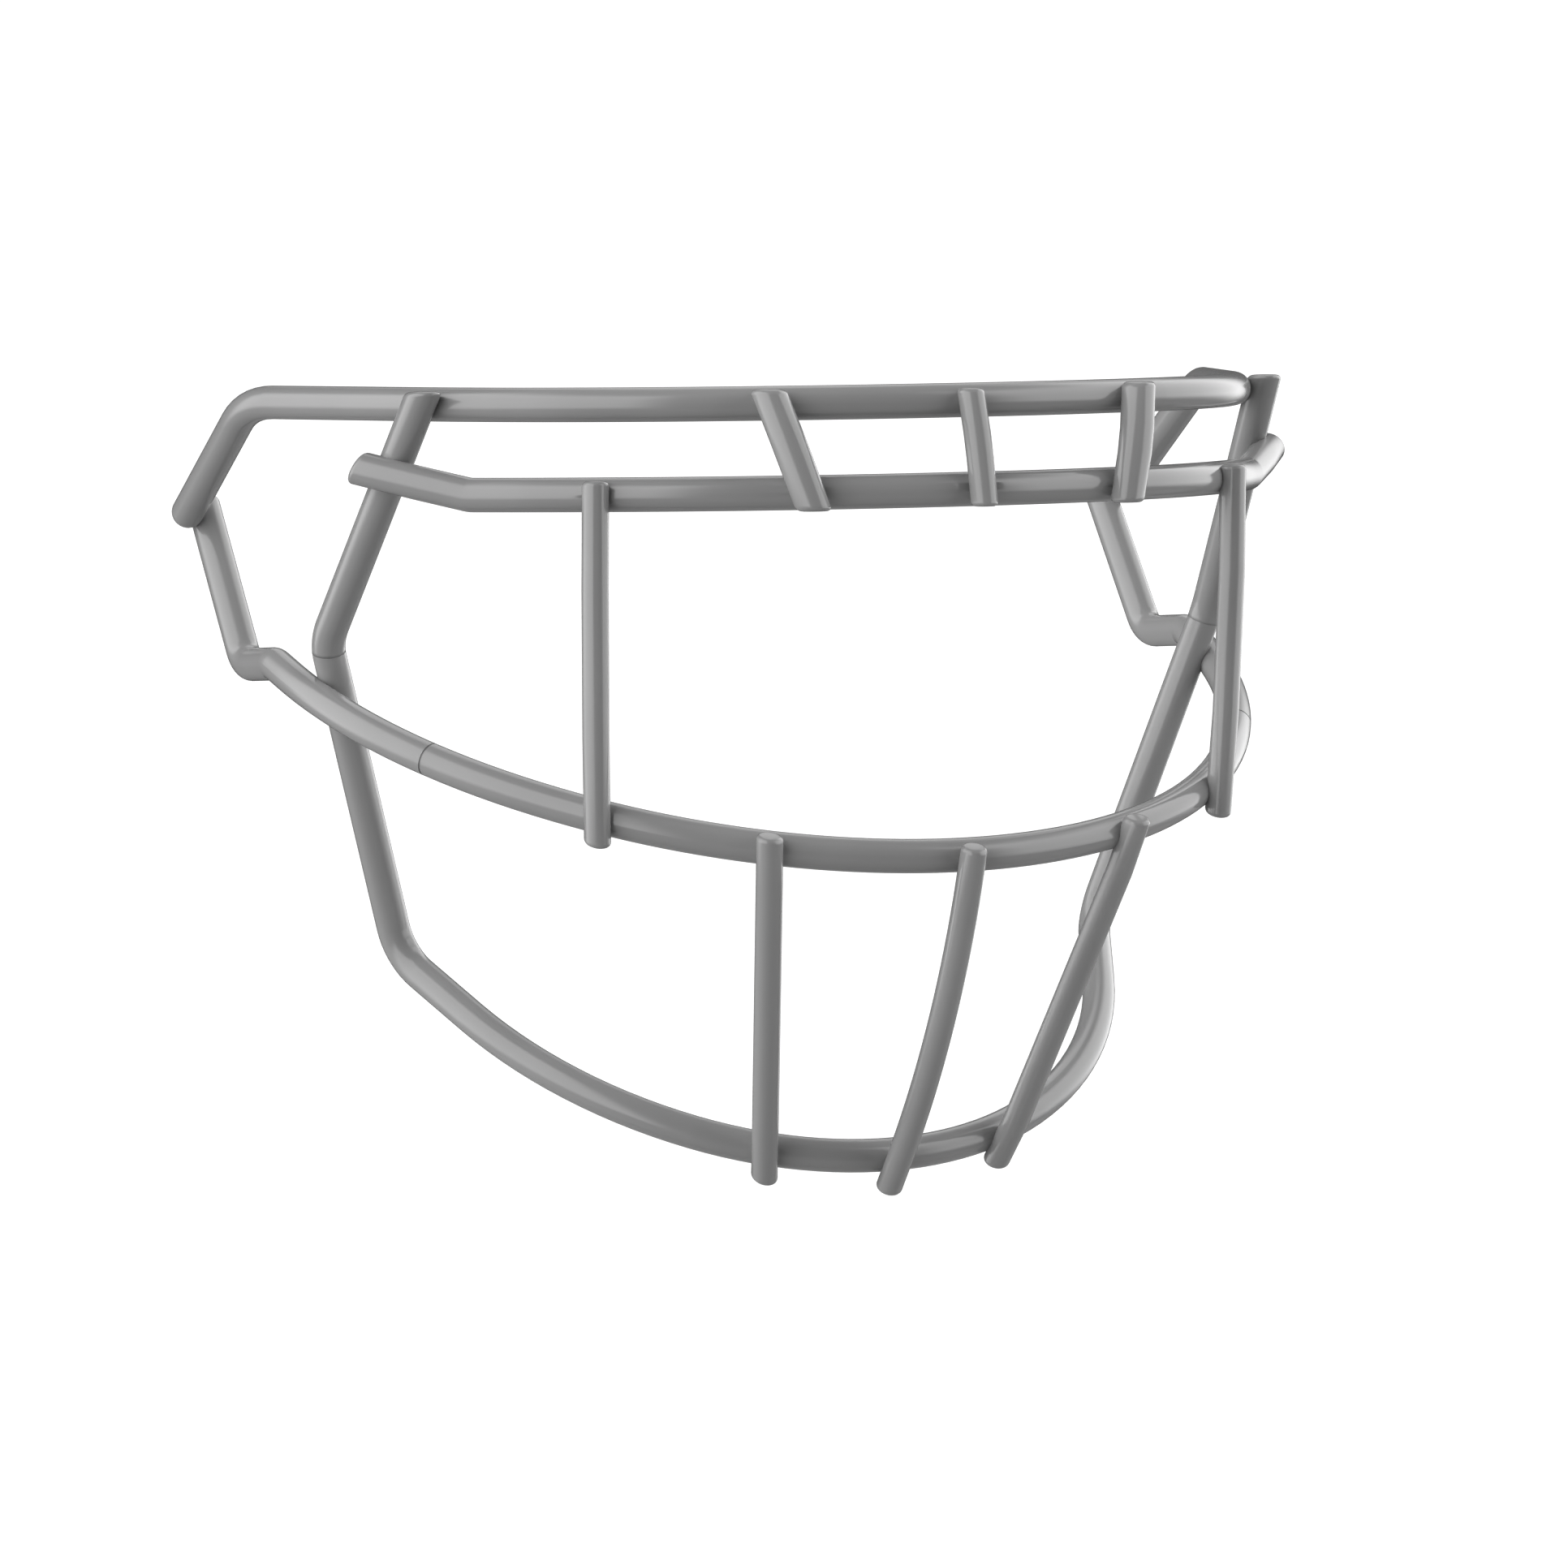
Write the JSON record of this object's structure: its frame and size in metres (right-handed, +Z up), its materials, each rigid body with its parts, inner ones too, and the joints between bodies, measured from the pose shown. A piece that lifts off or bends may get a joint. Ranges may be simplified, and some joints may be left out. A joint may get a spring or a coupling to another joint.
{
  "type": "football helmet facemask",
  "caption": "Welded wire cage that guards the face on a football helmet, with a brow double bar, eye guards, a jaw bar and a chin bar.",
  "frame": {"origin": "middle of the underside of the box round the whole cage", "axes": "+X to the picture's right, which is the wearer's left; -Y forward, out of the face; +Z up"},
  "size_m": [0.2192, 0.1528, 0.1609],
  "materials": {
    "coat": "smooth semi-gloss grey coat over round steel wire",
    "weld": "fused steel between two wires, hidden by the coat"
  },
  "bodies": {
    "root": {"top_bar": "coat", "brow_bar": "coat", "jaw_bar": "coat", "chin_bar": "coat", "side_wire_left": "coat", "side_wire_right": "coat", "upright_left": "coat", "upright_right": "coat", "brow_post_left": "coat", "brow_post_centre": "coat", "brow_post_right": "coat", "eye_guard_left": "coat", "eye_guard_right": "coat", "chin_post_left": "coat", "chin_post_centre": "coat", "chin_post_right": "coat", "top_bar_post_welds": "weld", "top_bar_upright_welds": "weld", "top_bar_side_welds": "weld", "brow_bar_post_welds": "weld", "brow_bar_upright_welds": "weld", "brow_bar_eye_guard_welds": "weld", "jaw_bar_eye_guard_welds": "weld", "jaw_bar_chin_post_welds": "weld", "lower_upright_side_welds": "weld", "chin_bar_post_welds": "weld", "jaw_butt_welds": "weld", "upright_butt_welds": "weld"}
  },
  "joints": []
}
